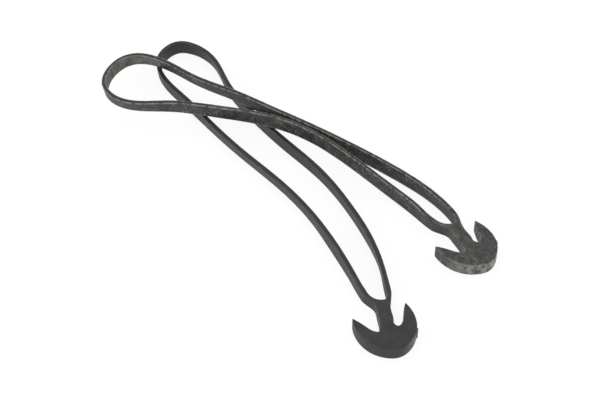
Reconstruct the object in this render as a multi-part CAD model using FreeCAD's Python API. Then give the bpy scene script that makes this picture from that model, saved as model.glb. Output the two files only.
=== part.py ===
import FreeCAD, Part
import math
import os

# Two identical moulded rubber tie straps, lying crossed on a flat surface.
# Each strap is a thin band that stands on its edge. It runs as one long closed loop,
# its two strands meet in a neck, and the neck carries a flat anchor-shaped head.
# Frame: millimetres, +Z up from the surface, +X towards the heads, origin at the
# centre of the pair's footprint.

# ---- The moulding, the same for both straps ----
strap_height = 9.4        # band and head, from the surface up
strap_thickness = 3.0     # of the band, across its two long walls
corner_cut = 0.25         # cut along the band's four long corners
lip_width = 0.7           # from the band's wall to the inner foot of a lip
channel_depth = 0.25      # of the shallow channel between the lips
edge_round = 0.5          # round along the rims of neck and head
tip_round = 0.7           # round on the fluke tips, seen from above
neck_set = 12.0           # degrees between the neck and the head's own centre line
head_half_width = 19.7    # from the head's centre line to the flank of a fluke
head_depth = 17.5         # from the notches to the top of the crown
fluke_reach = 14.5        # from the notches back to where the fluke's inside turns to its tip
tip_reach = 16.0          # from the notches back to where the tip's two sides would meet
tip_out = 18.4            # from the head's centre line to the same place
neck_half_width = 4.5     # of the straight part of the neck
fork_height = 32.0        # from the notches to where the strands leave the neck
fork_lead = 5.0           # stretch over which each strand leaves the neck straight
gate_width = 2.2          # stub of the moulding gate on the head's flank
gate_proud = 0.7          # how far that stub stands out
gate_height = 8.4         # top of that stub above the surface
gate_root = 2.0           # how far the stub's root runs into the head
gate_slant = -38.0        # degrees, square to the flank where the stub stands
flank_bend = (0.83, -6.5)  # share of the half width, and distance past the notches

# ---- How the straps lie ----
crossing_angle = 31.6     # degrees between the straps
lay_gap = 0.3             # clearance where the upper strap rests on the lower one
lower_reach = 319.5       # from the lower strap's notches to the far end of its loop
upper_reach = 305.3       # the same for the upper strap, which lies more bent
lower_neck = (127.0, -42.0)   # where the lower strap's notches lie
upper_neck = (115.0, 48.0)    # where the upper strap's notches lie
lower_turn = -17.9        # degrees from the lower strap's run to its neck
upper_turn = -30.7        # degrees from the upper strap's run to its neck
crossing_room = 6.0       # the upper strap starts down this far before the last crossing
descent_end = 28.0        # and is down this far from its notches
descent_ease = 40.0       # length of the soft bend at each end of the slope
sections_per_band = 96
crossing_samples = 300

# Each row: share of the reach, then for the left and the right strand the offset from
# the strap's run in mm, then the lean of each in degrees (top away from the loop's
# middle). The loop's end closes the two strands over three points.
lower_lay = [
    (0.16, -2.3, -23.5, 0, -6),
    (0.24, -4.0, -28.5, -3, -3),
    (0.34, -4.3, -30.5, 4, -4),
    (0.46, 0.5, -28.5, 10, -2),
    (0.58, 9.8, -20.5, 12, 2),
    (0.70, 17.7, -13.5, 8, -2),
    (0.81, 23.6, -11.0, 4, -5),
    (0.91, 28.0, -13.8, 5, -9),
]
lower_end = [(0.975, 21.0, 7), (1.0, 5.0, 8), (0.975, -7.0, -2)]
upper_lay = [
    (0.16, -13.9, -32.4, -8, 2),
    (0.24, -20.2, -36.2, -9, 10),
    (0.34, -27.3, -37.8, -8, 12),
    (0.46, -32.9, -38.4, -9, 4),
    (0.58, -30.8, -39.3, -10, 0),
    (0.70, -19.8, -40.8, -3, -9),
    (0.81, -6.3, -40.3, 6, -16),
    (0.91, 8.2, -43.3, 16, -15),
]
upper_end = [(0.975, 1.6, 10), (1.0, -22.8, 7), (0.975, -38.2, -6)]


def vec(x, y, z=0.0):
    return FreeCAD.Vector(x, y, z)


def turned(x, y, degrees):
    a = math.radians(degrees)
    return vec(x * math.cos(a) - y * math.sin(a), x * math.sin(a) + y * math.cos(a))


def spline(points):
    curve = Part.BSplineCurve()
    curve.interpolate(points)
    return curve.toShape()


# ---- Neck and head, drawn in the neck's frame: Y along the neck towards the strands ----

def fork_ends():
    """Middle and direction (degrees) of each strand where it leaves the neck."""
    left = (vec(-2.05 * neck_half_width, fork_height), 107.0)
    right = (vec(1.42 * neck_half_width, fork_height), 90.0)
    return left, right


def fork_corners(end):
    middle, degrees = end
    across = turned(0.0, strap_thickness / 2, degrees)
    return middle + across, middle - across


def fluke_point(side, out, along):
    """A point of the head given from its own centre line, side -1 left or +1 right."""
    return turned(side * out, along, neck_set)


def fluke_inside(side):
    """From the neck round the notch and out to the fluke's tip."""
    wide = head_half_width
    return [
        fluke_point(side, neck_half_width + 0.4, 0.21 * fluke_reach),
        fluke_point(side, neck_half_width + 1.9, 0.01 * fluke_reach),
        fluke_point(side, 0.50 * wide, 0.13 * fluke_reach),
        fluke_point(side, 0.64 * wide, 0.44 * fluke_reach),
        fluke_point(side, 0.78 * wide, 0.80 * fluke_reach),
        fluke_point(side, tip_out, tip_reach),
    ]


def head_outline():
    left_end, right_end = fork_ends()
    left_out, left_in = fork_corners(left_end)
    right_in, right_out = fork_corners(right_end)
    neck = neck_half_width
    high = fork_height
    left_side = [
        left_out,
        vec(-1.58 * neck, 0.82 * high),
        vec(-1.02 * neck, 0.68 * high),
        vec(-0.99 * neck, 0.50 * high),
        vec(-1.04 * neck, 0.24 * high),
    ] + fluke_inside(-1)
    right_side = [
        right_out,
        vec(1.60 * neck, 0.85 * high),
        vec(1.20 * neck, 0.66 * high),
        vec(1.00 * neck, 0.44 * high),
        vec(0.98 * neck, 0.22 * high),
    ] + fluke_inside(1)
    crown = [fluke_point(-1, tip_out, tip_reach)]
    flank = [(1.0, 4.5), flank_bend, (0.40, -0.86 * head_depth)]
    for out, along in flank:
        crown.append(fluke_point(-1, out * head_half_width, along))
    crown.append(fluke_point(1, 0.0, -head_depth))
    for out, along in reversed(flank):
        crown.append(fluke_point(1, out * head_half_width, along))
    crown.append(fluke_point(1, tip_out, tip_reach))
    slot = [
        left_in,
        vec(-1.38 * neck, 0.90 * high),
        vec(-0.80 * neck, 0.81 * high),
        vec(0.0, 0.765 * high),
        vec(0.72 * neck, 0.78 * high),
        vec(1.05 * neck, 0.87 * high),
        right_in,
    ]
    edges = [
        spline(left_side),
        spline(crown),
        spline(right_side),
        Part.makeLine(right_out, right_in),
        spline(slot),
        Part.makeLine(left_in, left_out),
    ]
    return Part.Wire(Part.__sortEdges__(edges))


def is_upright(edge):
    ends = [v.Point for v in edge.Vertexes]
    return len(ends) == 2 and abs(ends[0].z - ends[1].z) > 0.9 * strap_height


def rim_edges(solid):
    """The curved rims of neck and head, without those of the two fork faces."""
    found = []
    for edge in solid.Edges:
        straight = edge.Curve.TypeId == "Part::GeomLine"
        if not straight and not is_upright(edge):
            found.append(edge)
    return found


def make_head():
    solid = Part.Face(head_outline()).extrude(vec(0, 0, strap_height))
    tips = [fluke_point(side, tip_out, tip_reach) for side in (-1, 1)]
    tip_edges = []
    for edge in solid.Edges:
        if is_upright(edge):
            foot = vec(edge.Vertexes[0].X, edge.Vertexes[0].Y)
            if min(foot.distanceToPoint(tip) for tip in tips) < 0.01:
                tip_edges.append(edge)
    solid = solid.makeFillet(tip_round, tip_edges)
    solid = solid.makeFillet(edge_round, rim_edges(solid))
    stub = Part.makeBox(gate_root + gate_proud, gate_width, gate_height - edge_round)
    stub.translate(vec(-gate_root, -gate_width / 2, edge_round))
    stub.rotate(vec(0, 0, 0), vec(0, 0, 1), gate_slant + neck_set)
    share, along = flank_bend
    stub.translate(fluke_point(1, share * head_half_width, along))
    return solid.fuse(stub).removeSplitter()


# ---- The band, drawn in the strap's frame: X along its run to the loop, Y to the left ----

def band_profile():
    """Half section, as (distance across, height) from the band's middle, right to left."""
    across = strap_thickness / 2
    up = strap_height / 2
    return [
        (across, up - corner_cut),
        (across - corner_cut, up),
        (across - lip_width + channel_depth, up),
        (across - lip_width, up - channel_depth),
        (-across + lip_width, up - channel_depth),
        (-across + lip_width - channel_depth, up),
        (-across + corner_cut, up),
        (-across, up - corner_cut),
    ]


def section_height(lean):
    """Height that a leaning section takes up."""
    a = math.radians(lean)
    return strap_height * math.cos(a) + strap_thickness * abs(math.sin(a))


def soft_slope(x, descent_start):
    """0 at the neck, 1 past the descent, with a soft bend at both ends."""
    run = descent_start - descent_end
    t = min(max((x - descent_end) / run, 0.0), 1.0)
    ease = descent_ease / run
    top = 1.0 / (1.0 - ease)
    if t < ease:
        return top * t * t / (2 * ease)
    if t > 1.0 - ease:
        return 1.0 - top * (1.0 - t) ** 2 / (2 * ease)
    return top * (t - ease / 2)


def band_section(middle, forward, lean, lift):
    """The section's corners where the band passes one point of its route."""
    outward = vec(-forward.y, forward.x).normalize()
    a = math.radians(lean)
    side = outward * math.cos(a) - vec(0, 0, math.sin(a))
    upward = outward * math.sin(a) + vec(0, 0, math.cos(a))
    centre = vec(middle.x, middle.y, lift + section_height(lean) / 2)
    half = band_profile()
    ring = half + [(-across, -up) for across, up in half]
    return [centre + side * across + upward * up for across, up in ring]


def band_route(reach, turn, lay, end):
    """Middle line of the band. Its third coordinate holds the lean in degrees."""
    places = []
    for middle, degrees in fork_ends():
        beyond = middle + turned(fork_lead, 0.0, degrees)
        places.append([turned(p.x, p.y, turn - 90.0) for p in (middle, beyond)])
    route = places[0]
    route += [vec(share * reach, left, lean) for share, left, _, lean, _ in lay]
    route += [vec(share * reach, offset, lean) for share, offset, lean in end]
    route += [vec(share * reach, right, lean) for share, _, right, _, lean in reversed(lay)]
    route += reversed(places[1])
    curve = Part.BSplineCurve()
    curve.interpolate(route)
    return curve


def band_wall(rail, next_rail):
    """The straight-lined surface between two corners that run side by side."""
    wall = Part.BSplineSurface()
    wall.buildFromPolesMultsKnots(
        [rail.getPoles(), next_rail.getPoles()],
        [2, 2],
        rail.getMultiplicities(),
        [0.0, 1.0],
        rail.getKnots(),
        False,
        False,
        1,
        rail.Degree,
    )
    return wall.toShape()


def make_band(curve, lift, descent_start):
    """The whole loop, from the left strand's fork face round to the right one's."""
    first = curve.FirstParameter
    last = curve.LastParameter
    shares = [i / sections_per_band for i in range(sections_per_band + 1)]
    rings = []
    for share in shares:
        at = first + (last - first) * share
        point = curve.value(at)
        forward = curve.tangent(at)[0]
        rise = lift * soft_slope(point.x, descent_start)
        rings.append(band_section(vec(point.x, point.y), vec(forward.x, forward.y), point.z, rise))
    rails = []
    for corner in zip(*rings):
        rail = Part.BSplineCurve()
        rail.interpolate(Points=list(corner), Parameters=shares)
        rails.append(rail)
    walls = [band_wall(a, b) for a, b in zip(rails, rails[1:] + rails[:1])]
    caps = [Part.Face(Part.makePolygon(ring + ring[:1])) for ring in (rings[0], rings[-1])]
    shell = Part.makeShell(walls + caps)
    shell.sewShape()
    solid = Part.makeSolid(shell)
    if solid.Volume < 0:
        solid.reverse()
    return solid


def make_strap(curve, turn, lift=0.0, descent_start=lower_reach):
    head = make_head()
    head.rotate(vec(0, 0, 0), vec(0, 0, 1), turn - 90.0)
    return head.fuse(make_band(curve, lift, descent_start))


def laid(strap, neck, run_angle):
    strap.rotate(vec(0, 0, 0), vec(0, 0, 1), run_angle)
    strap.translate(vec(neck[0], neck[1]))
    return strap


def laid_line(curve, neck, run_angle):
    """The route as it lies, each point with its distance along the strap's own run."""
    line = []
    for point in curve.discretize(crossing_samples):
        place = turned(point.x, point.y, run_angle) + vec(neck[0], neck[1])
        line.append((place, point.x))
    return line


def side_of(a, b, p):
    return (b.x - a.x) * (p.y - a.y) - (b.y - a.y) * (p.x - a.x)


def last_crossing(upper_line, lower_line):
    """Distance from the upper strap's notches to its crossing nearest to them."""
    found = []
    for (a, along), (b, _) in zip(upper_line, upper_line[1:]):
        for (c, _), (d, _) in zip(lower_line, lower_line[1:]):
            if max(a.x, b.x) < min(c.x, d.x) or min(a.x, b.x) > max(c.x, d.x):
                continue
            parts = side_of(a, b, c) * side_of(a, b, d) < 0
            if parts and side_of(c, d, a) * side_of(c, d, b) < 0:
                found.append(along)
    return min(found)


def main():
    lower_angle = 180.0 - crossing_angle / 2
    upper_angle = 180.0 + crossing_angle / 2
    lower_curve = band_route(lower_reach, lower_turn, lower_lay, lower_end)
    upper_curve = band_route(upper_reach, upper_turn, upper_lay, upper_end)
    crossing = last_crossing(
        laid_line(upper_curve, upper_neck, upper_angle),
        laid_line(lower_curve, lower_neck, lower_angle),
    )
    leans = [point.z for point in lower_curve.discretize(crossing_samples)]
    lift = max(section_height(lean) for lean in leans) + lay_gap
    lower = make_strap(lower_curve, lower_turn)
    upper = make_strap(upper_curve, upper_turn, lift, crossing - crossing_room)
    lower = laid(lower, lower_neck, lower_angle)
    upper = laid(upper, upper_neck, upper_angle)
    box = Part.makeCompound([lower, upper]).optimalBoundingBox(False, False)
    os.makedirs("parts", exist_ok=True)
    for name, shape in (("lower_strap", lower), ("upper_strap", upper)):
        shape.translate(vec(-box.Center.x, -box.Center.y))
        shape.exportStep("parts/" + name + ".step")
        print(name, "solids", len(shape.Solids), "valid", shape.isValid(), "mm3", round(shape.Volume))
    print("last crossing", round(crossing, 1), "lift", round(lift, 2))
    print("pair", round(box.XLength, 1), round(box.YLength, 1), round(box.ZLength, 1))


main()
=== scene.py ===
import math

import bmesh
import bpy
import numpy as np
from mathutils import Matrix, Vector, noise


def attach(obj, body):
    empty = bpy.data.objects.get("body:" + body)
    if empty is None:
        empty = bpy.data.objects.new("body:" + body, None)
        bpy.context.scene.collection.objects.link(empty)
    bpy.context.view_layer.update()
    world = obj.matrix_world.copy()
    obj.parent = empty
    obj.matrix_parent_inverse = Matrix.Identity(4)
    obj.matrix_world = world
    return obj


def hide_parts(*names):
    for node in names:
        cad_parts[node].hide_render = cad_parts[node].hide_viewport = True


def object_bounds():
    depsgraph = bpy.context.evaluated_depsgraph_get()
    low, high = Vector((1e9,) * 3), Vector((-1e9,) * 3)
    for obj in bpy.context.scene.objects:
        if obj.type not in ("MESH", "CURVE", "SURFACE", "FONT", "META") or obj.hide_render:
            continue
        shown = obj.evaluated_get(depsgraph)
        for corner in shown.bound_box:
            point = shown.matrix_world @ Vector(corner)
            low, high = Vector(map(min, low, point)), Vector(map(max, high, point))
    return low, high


# Two moulded rubber tie straps lying crossed on a pale surface. Each strap is built in
# millimetres in its own frame, then laid in place and turned to metres.

MM = 0.001

# ---- The moulding, the same for both straps ----
STRAP_HEIGHT = 9.4
STRAP_THICKNESS = 3.0
LIP_WIDTH = 0.7           # from the band's wall to the inner foot of a lip
LIP_CREST = 0.45          # from the band's wall to where a lip starts to fall
LIP_ROUND = 0.3           # round over the band's four long corners
CHANNEL_DEPTH = 0.25      # of the shallow channel between the lips
CHANNEL_MIDDLE = 0.3      # half the width of the strip along the channel's middle
LIP_START = 4.0           # the lips rise out of the flat edge this far from the neck
LIP_FULL = 16.0           # and have their full height this far from it
NECK_SET = 12.0           # degrees between the neck and the head's own centre line
HEAD_HALF_WIDTH = 19.7    # from the head's centre line to the flank of a fluke
HEAD_DEPTH = 17.5         # from the notches to the top of the crown
FLUKE_REACH = 14.5        # from the notches back to where the inside turns to its tip
TIP_REACH = 16.0          # from the notches back to the tip
TIP_OUT = 18.4            # from the head's centre line to the tip
TIP_ROUND = 0.7           # how far from the tip its point is softened
NECK_HALF_WIDTH = 4.5
FORK_HEIGHT = 32.0        # from the notches to where the strands leave the neck
FORK_LEAD = 5.0           # stretch over which each strand leaves the neck straight
FORK_SPARE = 2.0          # extra length of neck, cut off square at the fork
FLANK_BEND = (0.83, -6.5)  # share of the half width, and distance past the notches
GATE_WIDTH = 2.2          # stub of the moulding gate on the head's flank
GATE_PROUD = 0.7
GATE_LOW = 0.9            # the stub's foot and top above the surface
GATE_HIGH = 8.4
GATE_SLANT = -38.0        # degrees, square to the flank where the stub stands

# ---- Age and finish of the moulding, millimetres, in the head's own frame ----
CROWN_START = -5.0        # the crown's wall begins this far past the notches
FLASH_START = (-16.0, -11.0)   # across the head: flash begins and is full
FLASH_STOP = (8.0, 13.0)       # across the head: flash fades and is gone
FLASH_REACH = (0.1, 0.6)       # up and down from its level: full and gone
GROOVE_BELOW = 1.0        # from the flash down to the groove under it
GROOVE_REACH = (0.2, 0.8)
GROOVE_DEPTH = 0.8        # as a share of how far the flash stands out
CHALK_FADE = (-4.0, 10.0)      # along the head: chalk is full and gone
LOOP_CHALK = (60.0, 25.0)      # from the loop's far end: chalk begins and is full
BROAD_WANDER = 9.0        # sizes of the unevenness of the faces
FINE_WANDER = 2.2

# ---- How the straps lie ----
CROSSING_ANGLE = 31.6     # degrees between the straps
LAY_GAP = 0.3             # clearance where the upper strap rests on the lower one
LAST_CROSSING = 175.0     # from the upper strap's notches to its last rest on the lower
CROSSING_ROOM = 6.0       # it starts down this far before that
DESCENT_END = 28.0        # and is down this far from its notches
DESCENT_EASE = 40.0       # length of the soft bend at each end of the slope

# Each row of lay: share of the reach, the left and the right strand's offset from the
# strap's run, and the lean of each in degrees. The rows of end close the loop.
# rim_round rounds the head's top edge, unevenness is how far the faces wander and flash
# how far the torn lip of flash on the crown stands out. chalk_from is where, across the
# head, chalk begins and is full, and chalk_on_loop is how chalky the loop's end is inside.
STRAPS = {
    "lower": {
        "reach": 319.5,
        "neck": (127.0, -42.0),
        "turn": -17.9,
        "run": 180.0 - CROSSING_ANGLE / 2,
        "lay": [
            (0.16, -2.3, -23.5, 0, -6),
            (0.24, -4.0, -28.5, -3, -3),
            (0.34, -4.3, -30.5, 4, -4),
            (0.46, 0.5, -28.5, 10, -2),
            (0.58, 9.8, -20.5, 12, 2),
            (0.70, 17.7, -13.5, 8, -2),
            (0.81, 23.6, -11.0, 4, -5),
            (0.91, 28.0, -13.8, 5, -9),
        ],
        "end": [(0.975, 21.0, 7), (1.0, 5.0, 8), (0.975, -7.0, -2)],
        "rim_round": 0.9,
        "unevenness": 0.04,
        "flash": 0.0,
        "chalk_from": (2.0, 12.0),
        "chalk_on_loop": 0.0,
    },
    "upper": {
        "reach": 305.3,
        "neck": (115.0, 48.0),
        "turn": -30.7,
        "run": 180.0 + CROSSING_ANGLE / 2,
        "lay": [
            (0.16, -13.9, -32.4, -8, 2),
            (0.24, -20.2, -36.2, -9, 10),
            (0.34, -27.3, -37.8, -8, 12),
            (0.46, -32.9, -38.4, -9, 4),
            (0.58, -30.8, -39.3, -10, 0),
            (0.70, -19.8, -40.8, -3, -9),
            (0.81, -6.3, -40.3, 6, -16),
            (0.91, 8.2, -43.3, 16, -15),
        ],
        "end": [(0.975, 1.6, 10), (1.0, -22.8, 7), (0.975, -38.2, -6)],
        "rim_round": 0.4,
        "unevenness": 0.07,
        "flash": 0.22,
        "chalk_from": (-26.0, -14.0),
        "chalk_on_loop": 0.55,
    },
}

# ---- Mesh sizes ----
BAND_STEP = 0.8           # along the band, from section to section
OUTLINE_STEP = 0.45       # along the head's outline
GRID_STEP = 1.0           # between cuts across the head's faces and walls
RIM_SEGMENTS = 4
ROUTE_SAMPLES = 300
FOOT_ROUND = 0.5          # round along the head's lower edge
FORK_REACH = 3.5          # what lies this near a fork's middle belongs to it

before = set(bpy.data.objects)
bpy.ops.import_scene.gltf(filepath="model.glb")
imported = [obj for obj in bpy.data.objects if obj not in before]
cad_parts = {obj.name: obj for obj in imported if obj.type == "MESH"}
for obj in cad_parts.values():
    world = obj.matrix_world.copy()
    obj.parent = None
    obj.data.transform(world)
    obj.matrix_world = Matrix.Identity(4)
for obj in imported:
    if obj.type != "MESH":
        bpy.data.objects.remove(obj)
cad_low, cad_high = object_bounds()


# ---- Curves ----

def end_slope(spacing, points):
    """Slope at the first of four points of the cubic through them."""
    return np.polyfit(spacing - spacing[0], points, 3)[2]


def smooth_line(points):
    """A smooth curve through the points, as a function of a share of its length.

    The function gives the place and the heading there."""
    p = np.array(points, float)
    gaps = np.linalg.norm(np.diff(p, axis=0), axis=1)
    at = np.concatenate([[0.0], np.cumsum(gaps)])
    steps = np.diff(p, axis=0) / gaps[:, None]
    count = len(p)
    system = np.eye(count)
    wanted = np.zeros_like(p)
    wanted[0] = end_slope(at[:4], p[:4])
    wanted[-1] = end_slope(at[::-1][:4], p[::-1][:4])
    for i in range(1, count - 1):
        system[i, i - 1:i + 2] = gaps[i], 2 * (gaps[i - 1] + gaps[i]), gaps[i - 1]
        wanted[i] = 3 * (gaps[i] * steps[i - 1] + gaps[i - 1] * steps[i])
    slopes = np.linalg.solve(system, wanted)

    def value(share):
        t = share * at[-1]
        i = min(max(int(np.searchsorted(at, t)) - 1, 0), count - 2)
        u = (t - at[i]) / gaps[i]
        bend = slopes[i] + slopes[i + 1] - 2 * steps[i]
        lead = 3 * steps[i] - 2 * slopes[i] - slopes[i + 1]
        place = p[i] + gaps[i] * u * (slopes[i] + u * (lead + u * bend))
        heading = slopes[i] + u * (2 * lead + 3 * u * bend)
        return Vector(place), Vector(heading)

    value.length = float(at[-1])
    return value


def sampled(points, step):
    """Places along the smooth line through the points, the first in, the last left out."""
    line = smooth_line(points)
    count = max(4, round(line.length / step))
    return [line(i / count)[0] for i in range(count)]


def turned(x, y, degrees):
    return Matrix.Rotation(math.radians(degrees), 3, "Z") @ Vector((x, y, 0.0))


def eased(value, low, high):
    """0 below low, 1 above high and a smooth step between them."""
    t = min(max((value - low) / (high - low), 0.0), 1.0)
    return t * t * (3 - 2 * t)


# ---- Head and neck, in the neck's frame: Y along the neck towards the strands ----

def fork_ends():
    """Middle and direction (degrees) of each strand where it leaves the neck."""
    left = (Vector((-2.05 * NECK_HALF_WIDTH, FORK_HEIGHT, 0)), 107.0)
    right = (Vector((1.42 * NECK_HALF_WIDTH, FORK_HEIGHT, 0)), 90.0)
    return left, right


def fork_corners(end):
    """The two corners of a fork face, each with the corner of its spare length."""
    middle, degrees = end
    across = turned(0.0, STRAP_THICKNESS / 2, degrees)
    spare = turned(FORK_SPARE, 0.0, degrees)
    return (middle + across, middle + across + spare), (middle - across, middle - across + spare)


def head_point(side, out, along):
    """A point given from the head's own centre line, side -1 left or +1 right."""
    return turned(side * out, along, NECK_SET)


def fluke_inside(side):
    """From the neck round the notch and out to the fluke's tip."""
    wide = HEAD_HALF_WIDTH
    return [
        head_point(side, NECK_HALF_WIDTH + 0.4, 0.21 * FLUKE_REACH),
        head_point(side, NECK_HALF_WIDTH + 1.9, 0.01 * FLUKE_REACH),
        head_point(side, 0.50 * wide, 0.13 * FLUKE_REACH),
        head_point(side, 0.64 * wide, 0.44 * FLUKE_REACH),
        head_point(side, 0.78 * wide, 0.80 * FLUKE_REACH),
        head_point(side, TIP_OUT, TIP_REACH),
    ]


def crown():
    """From the left tip round the crown to the right one."""
    flank = [(1.0, 4.5), FLANK_BEND, (0.40, -0.86 * HEAD_DEPTH)]
    left = [head_point(-1, out * HEAD_HALF_WIDTH, along) for out, along in flank]
    right = [head_point(1, out * HEAD_HALF_WIDTH, along) for out, along in reversed(flank)]
    top = [head_point(1, 0.0, -HEAD_DEPTH)]
    tips = [head_point(side, TIP_OUT, TIP_REACH) for side in (-1, 1)]
    return tips[:1] + left + top + right + tips[1:]


def neck_side(corner, shape):
    """From a fork's corner down one side of the neck."""
    return [corner] + [Vector((x * NECK_HALF_WIDTH, y * FORK_HEIGHT, 0)) for x, y in shape]


def head_outline():
    left_end, right_end = fork_ends()
    (left_out, left_out_far), (left_in, left_in_far) = fork_corners(left_end)
    (right_in, right_in_far), (right_out, right_out_far) = fork_corners(right_end)
    left_neck = neck_side(left_out, [(-1.58, 0.82), (-1.02, 0.68), (-0.99, 0.50), (-1.04, 0.24)])
    right_neck = neck_side(right_out, [(1.60, 0.85), (1.20, 0.66), (1.00, 0.44), (0.98, 0.22)])
    slot_shape = [(-1.38, 0.90), (-0.80, 0.81), (0.0, 0.765), (0.72, 0.78), (1.05, 0.87)]
    slot = neck_side(left_in, slot_shape) + [right_in]
    places = sampled(left_neck + fluke_inside(-1), OUTLINE_STEP)
    places += sampled(crown(), OUTLINE_STEP)
    places += sampled((right_neck + fluke_inside(1))[::-1], OUTLINE_STEP)
    places += [right_out, right_out_far, right_in_far]
    places += sampled(slot[::-1], OUTLINE_STEP)
    places += [left_in, left_in_far, left_out_far]
    return places


def verts_of(elements):
    return [e for e in elements if isinstance(e, bmesh.types.BMVert)]


def near(faces, point, reach):
    """Those of the faces that lie within reach of a point, seen from above."""
    return [f for f in faces if (f.calc_center_median().xy - point.xy).length < reach]


def with_parts(faces):
    """The faces with their edges and vertices, as the cutting operators want them."""
    edges = {e for f in faces for e in f.edges}
    verts = {v for f in faces for v in f.verts}
    return list(faces) + list(edges) + list(verts)


def flats(bm):
    return [f for f in bm.faces if abs(f.normal.z) > 0.999]


def walls(bm):
    return [f for f in bm.faces if abs(f.normal.z) < 0.02]


def grid_cuts(bm, faces_of, axis, low, high):
    """Cuts the faces that faces_of picks into strips by planes square to an axis."""
    normal = Vector((0, 0, 0))
    normal[axis] = 1.0
    count = max(1, round((high - low) / GRID_STEP))
    for i in range(1, count):
        at = normal * (low + (high - low) * i / count)
        bmesh.ops.bisect_plane(
            bm, geom=with_parts(faces_of(bm)), plane_co=at, plane_no=normal, dist=0.02
        )


def cut_fork(bm, end):
    """Cuts a fork's spare length off square and gives the open loop of edges."""
    middle, degrees = end
    ahead = turned(1.0, 0.0, degrees)
    faces = near(bm.faces, middle + ahead * FORK_SPARE / 2, FORK_REACH)
    bmesh.ops.bisect_plane(
        bm, geom=with_parts(faces), plane_co=middle, plane_no=ahead, clear_outer=True, dist=1e-4
    )
    return [
        e for e in bm.edges
        if e.is_boundary and (e.verts[0].co.xy - middle.xy).length < FORK_REACH
    ]


def round_rim(bm, height, radius):
    """Rounds the edge of the flat face that lies at a height."""
    rim = [e for e in bm.edges if all(abs(v.co.z - height) < 0.01 for v in e.verts)]
    bmesh.ops.bevel(
        bm, geom=rim, offset=radius, offset_type="OFFSET", segments=RIM_SEGMENTS,
        profile=0.5, affect="EDGES", clamp_overlap=False, material=-1,
    )


def raise_gate(bm):
    """The stub left by the moulding gate: a patch of the flank's wall pushed out."""
    share, along = FLANK_BEND
    foot = head_point(1, share * HEAD_HALF_WIDTH, along)
    patch = [
        f for f in near(walls(bm), foot, GATE_WIDTH / 2)
        if GATE_LOW < f.calc_center_median().z < GATE_HIGH
    ]
    raised = bmesh.ops.extrude_face_region(bm, geom=patch)["geom"]
    bmesh.ops.delete(bm, geom=patch, context="FACES")
    out = turned(GATE_PROUD, 0.0, GATE_SLANT + NECK_SET)
    bmesh.ops.translate(bm, verts=verts_of(raised), vec=out)


def leave_flash(bm, strap):
    """A thin torn lip of flash along part of the crown, just under its top edge."""
    bm.normal_update()
    level = STRAP_HEIGHT - strap["rim_round"]
    for v in bm.verts:
        out, along = turned(v.co.x, v.co.y, -NECK_SET).xy
        if abs(v.normal.z) > 0.4 or along > CROWN_START:
            continue
        torn = 0.6 + 0.4 * noise.noise(Vector((out, along, 0)) * 0.8)
        stretch = eased(out, *FLASH_START) * (1 - eased(out, *FLASH_STOP)) * torn
        lip = 1 - eased(abs(v.co.z - level), *FLASH_REACH)
        groove = 1 - eased(abs(v.co.z - (level - GROOVE_BELOW)), *GROOVE_REACH)
        relief = lip - GROOVE_DEPTH * groove
        v.co += Vector(v.normal).normalized() * strap["flash"] * stretch * relief


def make_head(bm, strap):
    """Head and neck, open at the two forks. Gives the two open loops."""
    places = head_outline()
    bm.faces.new([bm.verts.new(p) for p in places])
    for side in (-1, 1):
        tip = head_point(side, TIP_OUT, TIP_REACH)
        close = [v for v in bm.verts if (v.co - tip).length < TIP_ROUND]
        for _ in range(2):
            bmesh.ops.smooth_vert(bm, verts=close, factor=0.5, use_axis_x=True, use_axis_y=True)
    top = bmesh.ops.extrude_face_region(bm, geom=bm.faces[:])["geom"]
    bmesh.ops.translate(bm, verts=verts_of(top), vec=(0, 0, STRAP_HEIGHT))
    bmesh.ops.recalc_face_normals(bm, faces=bm.faces[:])
    round_rim(bm, STRAP_HEIGHT, strap["rim_round"])
    round_rim(bm, 0.0, FOOT_ROUND)
    xs = [p.x for p in places]
    ys = [p.y for p in places]
    grid_cuts(bm, flats, 0, min(xs), max(xs))
    grid_cuts(bm, flats, 1, min(ys), max(ys))
    grid_cuts(bm, walls, 2, 0.0, STRAP_HEIGHT)
    raise_gate(bm)
    leave_flash(bm, strap)
    return [cut_fork(bm, end) for end in fork_ends()]


# ---- Band, in the strap's frame: X along its run to the loop, Y to the left ----

def section_height(lean):
    """Height that a leaning section takes up."""
    a = math.radians(lean)
    return STRAP_HEIGHT * math.cos(a) + STRAP_THICKNESS * abs(math.sin(a))


def soft_slope(x, start):
    """0 at the neck, 1 past the descent, with a soft bend at both ends."""
    run = start - DESCENT_END
    t = min(max((x - DESCENT_END) / run, 0.0), 1.0)
    ease = DESCENT_EASE / run
    top = 1.0 / (1.0 - ease)
    if t < ease:
        return top * t * t / (2 * ease)
    if t > 1.0 - ease:
        return 1.0 - top * (1.0 - t) ** 2 / (2 * ease)
    return top * (t - ease / 2)


def band_route(strap):
    """Middle line of the band. Its third coordinate holds the lean in degrees."""
    places = []
    for middle, degrees in fork_ends():
        beyond = middle + turned(FORK_LEAD, 0.0, degrees)
        places.append([turned(p.x, p.y, strap["turn"] - 90.0) for p in (middle, beyond)])
    reach = strap["reach"]
    route = places[0]
    route += [(share * reach, left, lean) for share, left, _, lean, _ in strap["lay"]]
    route += [(share * reach, offset, lean) for share, offset, lean in strap["end"]]
    route += [(share * reach, right, lean) for share, _, right, _, lean in reversed(strap["lay"])]
    route += reversed(places[1])
    return smooth_line([tuple(p) for p in route])


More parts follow.
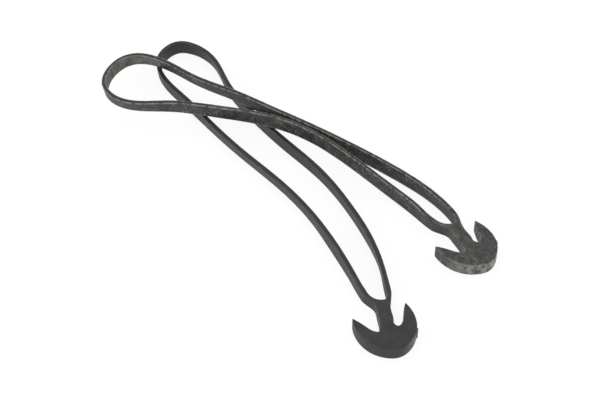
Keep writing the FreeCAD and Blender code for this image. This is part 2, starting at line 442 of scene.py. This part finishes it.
def section_places():
    """The section's places from its middle, once round: top, left wall, bottom, right wall."""
    across = STRAP_THICKNESS / 2
    up = STRAP_HEIGHT / 2
    corner = []
    for i in range(RIM_SEGMENTS):
        a = math.radians(90.0 * i / (RIM_SEGMENTS - 1))
        round_off = LIP_ROUND * (1 - math.cos(a)), LIP_ROUND * (1 - math.sin(a))
        corner.append((across - round_off[0], up - round_off[1]))
    corner += [(across - LIP_CREST, up), (across - (LIP_CREST + LIP_WIDTH) / 2, up)]
    corner += [(across - LIP_WIDTH, up), (CHANNEL_MIDDLE, up)]
    top = corner + [(-x, y) for x, y in reversed(corner)]
    wall = [(-across, up - i) for i in range(1, int(STRAP_HEIGHT))]
    half = top + wall
    return half + [(-x, -y) for x, y in half]


def sunk(across, up, share):
    """Height of a place of the section once the channel is sunk between the lips."""
    if abs(up) < STRAP_HEIGHT / 2 - 0.1 * LIP_ROUND:
        return up
    inward = STRAP_THICKNESS / 2 - abs(across)
    depth = CHANNEL_DEPTH * share * eased(inward, LIP_CREST - 0.1, LIP_WIDTH + 0.1)
    return up - math.copysign(depth, up)


def make_band(bm, strap, lift, start):
    """The loop: a flat grid rolled into the section and laid along the route.

    Gives the open loops at its two ends."""
    route = band_route(strap)
    count = round(route.length / BAND_STEP)
    section = section_places()
    section.append(section[0])
    layers = bm.verts.layers.float
    columns, rows = len(section) - 1, count - 2
    grid = bmesh.ops.create_grid(bm, x_segments=columns, y_segments=rows, size=0.5)["verts"]
    lines = [[] for _ in range(rows + 1)]
    for v in grid:
        lines[round((v.co.y + 0.5) * rows)].append(v)
    for i, line in enumerate(lines, 1):
        point, heading = route(i / count)
        outward = Vector((-heading.y, heading.x, 0)).normalized()
        a = math.radians(point.z)
        side = outward * math.cos(a) - Vector((0, 0, math.sin(a)))
        upward = outward * math.sin(a) + Vector((0, 0, math.cos(a)))
        rise = lift * soft_slope(point.x, start)
        centre = Vector((point.x, point.y, rise + section_height(point.z) / 2))
        along = route.length * i / count
        far = min(along, route.length - along)
        lips = eased(far, LIP_START, LIP_FULL)
        for v in line:
            across, up = section[round((v.co.x + 0.5) * columns)]
            v[layers["along"]] = along
            v[layers["far"]] = far
            v[layers["across"]] = across
            v[layers["up"]] = up
            v.co = centre + side * across + upward * sunk(across, up, lips)
    bmesh.ops.remove_doubles(bm, verts=grid, dist=1e-4)
    ends = ([], [])
    for e in bm.edges:
        along = e.verts[0][layers["along"]]
        if e.is_boundary and along > 0:
            ends[0 if along < route.length / 2 else 1].append(e)
    return ends


def roughen(bm, amount):
    """Lets the moulded faces wander a little, as cooled rubber does."""
    bm.normal_update()
    for v in bm.verts:
        broad = noise.noise(v.co / BROAD_WANDER)
        fine = noise.noise(v.co / FINE_WANDER)
        v.co += v.normal * amount * (broad + 0.5 * fine)
        v.co.z = max(v.co.z, 0.0)


# ---- Where the rubber has aged, and where highlight and shade are painted, kept on the mesh for the materials ----

def mark_head(bm, strap):
    """Marks chalk on the crown's wall, and wear along the rims, whose pale colour is partly a painted
    highlight.
    """
    layers = bm.verts.layers.float
    bm.normal_update()
    for v in bm.verts:
        out, along = turned(v.co.x, v.co.y, -NECK_SET).xy
        upright = 1 - eased(abs(v.normal.z), 0.2, 0.8)
        on_crown = 1 - eased(along, *CHALK_FADE)
        v[layers["chalk"]] = upright * on_crown * eased(out, *strap["chalk_from"])
        # the rims go pale in places: partly worn rubber, partly a painted highlight where the bevel
        # catches light
        v[layers["rim"]] = 1 - eased(abs(abs(v.normal.z) - 0.7), 0.05, 0.35)


def mark_band(bm, strap):
    """Marks the lips for wear and painted highlight, the channel between them for painted shade, and
    chalk inside the loop's end.
    """
    layers = bm.verts.layers.float
    farthest = max(v[layers["far"]] for v in bm.verts)
    for v in bm.verts:
        if v[layers["along"]] > 0:
            inward = STRAP_THICKNESS / 2 - abs(v[layers["across"]])
            edge = eased(abs(v[layers["up"]]), STRAP_HEIGHT / 2 - 0.5, STRAP_HEIGHT / 2 - 0.1)
            shown = eased(v[layers["far"]], LIP_START, LIP_FULL)
            # the lips go pale in places: partly worn rubber, partly a painted highlight where they
            # catch light
            v[layers["rim"]] = shown * edge * (1 - eased(inward, 0.35, 0.6))
            # the channel between the lips: darkened as painted shade
            v[layers["channel"]] = shown * edge * eased(inward, 0.5, 0.9)
            inside = 1 - eased(v[layers["across"]], -STRAP_THICKNESS / 2, 0.3 - STRAP_THICKNESS / 2)
            from_end = [farthest - reach for reach in LOOP_CHALK]
            at_end = eased(v[layers["far"]], *from_end)
            v[layers["chalk"]] = strap["chalk_on_loop"] * inside * at_end


def make_strap(name, lift, start):
    strap = STRAPS[name]
    bm = bmesh.new()
    for layer in ("across", "up", "along", "far", "rim", "channel", "chalk"):
        bm.verts.layers.float.new(layer)
    forks = make_head(bm, strap)
    mark_head(bm, strap)
    turn = Matrix.Rotation(math.radians(strap["turn"] - 90.0), 3, "Z")
    bmesh.ops.rotate(bm, verts=bm.verts[:], cent=(0, 0, 0), matrix=turn)
    ends = make_band(bm, strap, lift, start)
    for fork, end in zip(forks, ends):
        bmesh.ops.bridge_loops(bm, edges=fork + end)
    mark_band(bm, strap)
    bmesh.ops.recalc_face_normals(bm, faces=bm.faces[:])
    roughen(bm, strap["unevenness"])
    run = Matrix.Rotation(math.radians(strap["run"]), 3, "Z")
    bmesh.ops.rotate(bm, verts=bm.verts[:], cent=(0, 0, 0), matrix=run)
    bmesh.ops.translate(bm, verts=bm.verts[:], vec=(*strap["neck"], 0))
    bmesh.ops.scale(bm, verts=bm.verts[:], vec=(MM, MM, MM))
    mesh = bpy.data.meshes.new(name + "_tie_strap")
    bm.to_mesh(mesh)
    bm.free()
    mesh.shade_smooth()
    piece = bpy.data.objects.new(name + "_tie_strap", mesh)
    bpy.context.scene.collection.objects.link(piece)
    return piece


# ---- Materials ----

def srgb(hex_colour):
    """The linear colour of an sRGB hex value."""
    def linear(c):
        return c / 12.92 if c <= 0.04045 else ((c + 0.055) / 1.055) ** 2.4
    return tuple(linear(int(hex_colour[i:i + 2], 16) / 255) for i in (1, 3, 5)) + (1.0,)


def per_mm(size):
    """Pattern scale, per metre, that gives features of a size in millimetres."""
    return 1.0 / (size * MM)


def add(tree, kind, settings=None, links=None):
    """Adds a node, sets its sockets and properties, and links sources to its sockets."""
    node = tree.nodes.new(kind)
    for key, value in (settings or {}).items():
        if isinstance(key, int) or key in node.inputs:
            node.inputs[key].default_value = value
        else:
            setattr(node, key, value)
    for key, source in (links or {}).items():
        tree.links.new(source, node.inputs[key])
    return node


MIX_FACTOR, MIX_A, MIX_B, MIX_RESULT = 0, 6, 7, 2


def mixed(tree, factor, under, over):
    """Colour over laid on colour under by a factor. Each colour is a hex value or a socket."""
    settings = {"data_type": "RGBA"}
    links = {MIX_FACTOR: factor}
    for key, colour in ((MIX_A, under), (MIX_B, over)):
        if isinstance(colour, str):
            settings[key] = srgb(colour)
        else:
            links[key] = colour
    return add(tree, "ShaderNodeMix", settings, links).outputs[MIX_RESULT]


def stepped(tree, source, low, high):
    """0 where the source is below low, 1 above high, smooth between."""
    settings = {"From Min": low, "From Max": high, "interpolation_type": "SMOOTHSTEP"}
    return add(tree, "ShaderNodeMapRange", settings, {"Value": source}).outputs["Result"]


def times(tree, a, b):
    """Product of a socket with a socket or a number."""
    settings, links = {"operation": "MULTIPLY"}, {0: a}
    if isinstance(b, float):
        settings[1] = b
    else:
        links[1] = b
    return add(tree, "ShaderNodeMath", settings, links).outputs[0]


def marked(tree, layer):
    return add(tree, "ShaderNodeAttribute", {"attribute_name": layer}).outputs["Fac"]


def moulded_rubber(name, look):
    """EPDM rubber, compression moulded, years old.

    Carbon black makes it nearly black with a broad, soft sheen. Bloom dulls it to a patchy
    grey, the sun has bleached some walls, and worn edges go pale and dry. On the rims and
    lips that pale colour is also a painted highlight, and the channel between the lips is
    darkened with painted shade.
    look holds the finish: colours, sizes of patches in millimetres and shares from 0 to 1;
    rub is where the pattern of wear and painted highlight starts and is full, rough is the
    roughness of the black and of the bloom."""
    material = bpy.data.materials.new(name)
    material.use_nodes = True
    tree = material.node_tree
    shader = tree.nodes["Principled BSDF"]
    place = add(tree, "ShaderNodeTexCoord").outputs["Object"]

    def cloud(size, detail=4.0, roughness=0.6, at=None):
        settings = {"Scale": per_mm(size), "Detail": detail, "Roughness": roughness}
        return add(tree, "ShaderNodeTexNoise", settings, {"Vector": at or place}).outputs["Fac"]

    # patchy bloom over the black, a few millimetres to a patch
    patches = stepped(tree, cloud(look["patch"]), 0.38, 0.66)
    colour = mixed(tree, times(tree, patches, look["patchiness"]), look["black"], look["bloom"])
    # dry grain, drawn a few times coarser than the real one so that it shows
    grain = stepped(tree, cloud(0.8, 2.0, 0.5), 0.35, 0.75)
    colour = mixed(tree, times(tree, grain, look["grain"]), colour, look["bloom"])
    # painted shade: the channel between the lips is darkened
    colour = mixed(tree, times(tree, marked(tree, "channel"), 0.5), colour, look["painted_channel_shade"])
    # rims and lips go pale in places: partly worn rubber, partly a painted highlight where they catch
    # light
    wear_and_highlight_spots = stepped(tree, cloud(look["wear_and_highlight_patch"], 5.0, 0.7), *look["wear_and_highlight"])
    wear_and_highlight = times(tree, marked(tree, "rim"), wear_and_highlight_spots)
    colour = mixed(tree, wear_and_highlight, colour, look["wear_and_highlight_colour"])
    # scratches: thin broken lines where a crumpled cell pattern has its borders
    bent = add(
        tree, "ShaderNodeVectorMath", {"operation": "MULTIPLY_ADD", 1: (0.002, 0.002, 0.002)},
        {0: add(tree, "ShaderNodeTexNoise", {"Scale": per_mm(6)}, {"Vector": place}).outputs["Color"],
         2: place},
    ).outputs[0]
    cells = add(
        tree, "ShaderNodeTexVoronoi",
        {"feature": "DISTANCE_TO_EDGE", "Scale": per_mm(8)}, {"Vector": bent},
    ).outputs["Distance"]
    lines = add(
        tree, "ShaderNodeMath", {"operation": "SUBTRACT", 0: 1.0},
        {1: stepped(tree, cells, 0.0, 0.05)},
    ).outputs[0]
    broken = times(tree, lines, stepped(tree, cloud(5.0), 0.46, 0.58))
    scratches = times(tree, broken, look["scratches"])
    colour = mixed(tree, scratches, colour, look["wear_and_highlight_colour"])
    # chalk where the sun bleached the crown's wall, in blotches
    blotches = stepped(tree, cloud(4.0, 6.0, 0.75), 0.36, 0.62)
    chalk = times(tree, times(tree, marked(tree, "chalk"), blotches), look["chalk"])
    colour = mixed(tree, chalk, colour, look["chalk_colour"])
    tree.links.new(colour, shader.inputs["Base Color"])

    rough = add(
        tree, "ShaderNodeMapRange", {"To Min": look["rough"][0], "To Max": look["rough"][1]},
        {"Value": patches},
    ).outputs["Result"]
    tree.links.new(rough, shader.inputs["Roughness"])
    shader.inputs["IOR"].default_value = 1.45
    relief = add(tree, "ShaderNodeMath", {"operation": "SUBTRACT"}, {0: grain, 1: scratches}).outputs[0]
    bump = add(tree, "ShaderNodeBump", {"Strength": 0.35, "Distance": 0.0001}, {"Height": relief})
    tree.links.new(bump.outputs["Normal"], shader.inputs["Normal"])
    return material


# The pale colours for rims and scratches are worn rubber, and on the rims and lips also a painted
# highlight; the dark colours for the channel between the lips are painted shade.
LOOKS = {
    "lower": {
        "black": "#202020", "bloom": "#323230", "painted_channel_shade": "#1d1d1d",
        "patch": 14.0, "patchiness": 0.8, "grain": 0.25,
        "wear_and_highlight_patch": 7.0, "wear_and_highlight": (0.45, 0.75), "wear_and_highlight_colour": "#575653",
        "scratches": 0.0, "chalk": 0.8, "chalk_colour": "#66645c", "rough": (0.5, 0.62),
    },
    "upper": {
        "black": "#1c1c1c", "bloom": "#3c3c3a", "painted_channel_shade": "#1d1d1c",
        "patch": 6.0, "patchiness": 1.0, "grain": 0.35,
        "wear_and_highlight_patch": 3.0, "wear_and_highlight": (0.38, 0.55), "wear_and_highlight_colour": "#8a8883",
        "scratches": 0.4, "chalk": 1.0, "chalk_colour": "#827f78", "rough": (0.45, 0.65),
    },
}


# ---- Both straps, laid crossed ----

lower_route = band_route(STRAPS["lower"])
leans = [lower_route(i / ROUTE_SAMPLES)[0].z for i in range(ROUTE_SAMPLES + 1)]
tallest = max(section_height(lean) for lean in leans)
lower = make_strap("lower", 0.0, STRAPS["lower"]["reach"])
upper = make_strap("upper", tallest + LAY_GAP, LAST_CROSSING - CROSSING_ROOM)
corners = np.array([v.co[:] for piece in (lower, upper) for v in piece.data.vertices])
shift = (cad_low + cad_high) / 2 - Vector((corners.min(0) + corners.max(0)) / 2)
for name, piece in (("lower", lower), ("upper", upper)):
    piece.data.transform(Matrix.Translation((shift.x, shift.y, 0)))
    piece.data.materials.append(moulded_rubber("moulded_rubber_" + name, LOOKS[name]))
    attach(piece, name)
    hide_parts(name + "_strap")


# ---- Floor, light and camera ----

# A bright surround and a weak soft box in front, so the walls are lit evenly. The floor's
# glow and the light it returns come to about white.
FLOOR_SIZE = 6.0
WORLD_LIGHT = 1.0
FLOOR_GLOW = 0.88         # the pale floor is lit through, like a light table


def make_floor():
    bpy.ops.mesh.primitive_plane_add(size=FLOOR_SIZE)
    floor = bpy.context.object
    floor.name = "floor"
    material = bpy.data.materials.new("light_table")
    material.use_nodes = True
    shader = material.node_tree.nodes["Principled BSDF"]
    shader.inputs["Base Color"].default_value = srgb("#666665")
    shader.inputs["Roughness"].default_value = 0.8
    shader.inputs["Specular IOR Level"].default_value = 0.0
    shader.inputs["Emission Color"].default_value = srgb("#ffffff")
    shader.inputs["Emission Strength"].default_value = FLOOR_GLOW
    floor.data.materials.append(material)


def soft_box(name, direction, distance, size, watts):
    """A square soft box that looks at the middle of the straps."""
    data = bpy.data.lights.new(name, "AREA")
    data.size = size
    data.energy = watts
    box = bpy.data.objects.new(name, data)
    away = Vector(direction).normalized()
    box.location = away * distance
    box.rotation_mode = "QUATERNION"
    box.rotation_quaternion = away.to_track_quat("Z", "Y")
    bpy.context.scene.collection.objects.link(box)


def make_world(strength):
    world = bpy.data.worlds.new("studio")
    bpy.context.scene.world = world
    world.use_nodes = True
    world.node_tree.nodes["Background"].inputs["Color"].default_value = srgb("#ffffff")
    world.node_tree.nodes["Background"].inputs["Strength"].default_value = strength


CAMERA_LENS = 90.0
CAMERA_AZIMUTH = 47.0
CAMERA_ELEVATION = 45.0
CAMERA_DISTANCE = 1.034
CAMERA_TARGET = (0.02062, -0.00322, 0.0)


def make_camera():
    a = math.radians(CAMERA_AZIMUTH)
    e = math.radians(CAMERA_ELEVATION)
    back = Vector((math.sin(a) * math.cos(e), -math.cos(a) * math.cos(e), math.sin(e)))
    data = bpy.data.cameras.new("camera")
    data.lens = CAMERA_LENS
    camera = bpy.data.objects.new("camera", data)
    bpy.context.scene.collection.objects.link(camera)
    camera.location = Vector(CAMERA_TARGET) + back * CAMERA_DISTANCE
    camera.rotation_mode = "QUATERNION"
    camera.rotation_quaternion = back.to_track_quat("Z", "Y")
    bpy.context.scene.camera = camera


make_floor()
make_world(WORLD_LIGHT)
soft_box("front_soft_box", direction=(-0.25, -1.0, 0.35), distance=1.3, size=0.5, watts=3.0)
make_camera()
bpy.context.scene.view_settings.view_transform = "Standard"
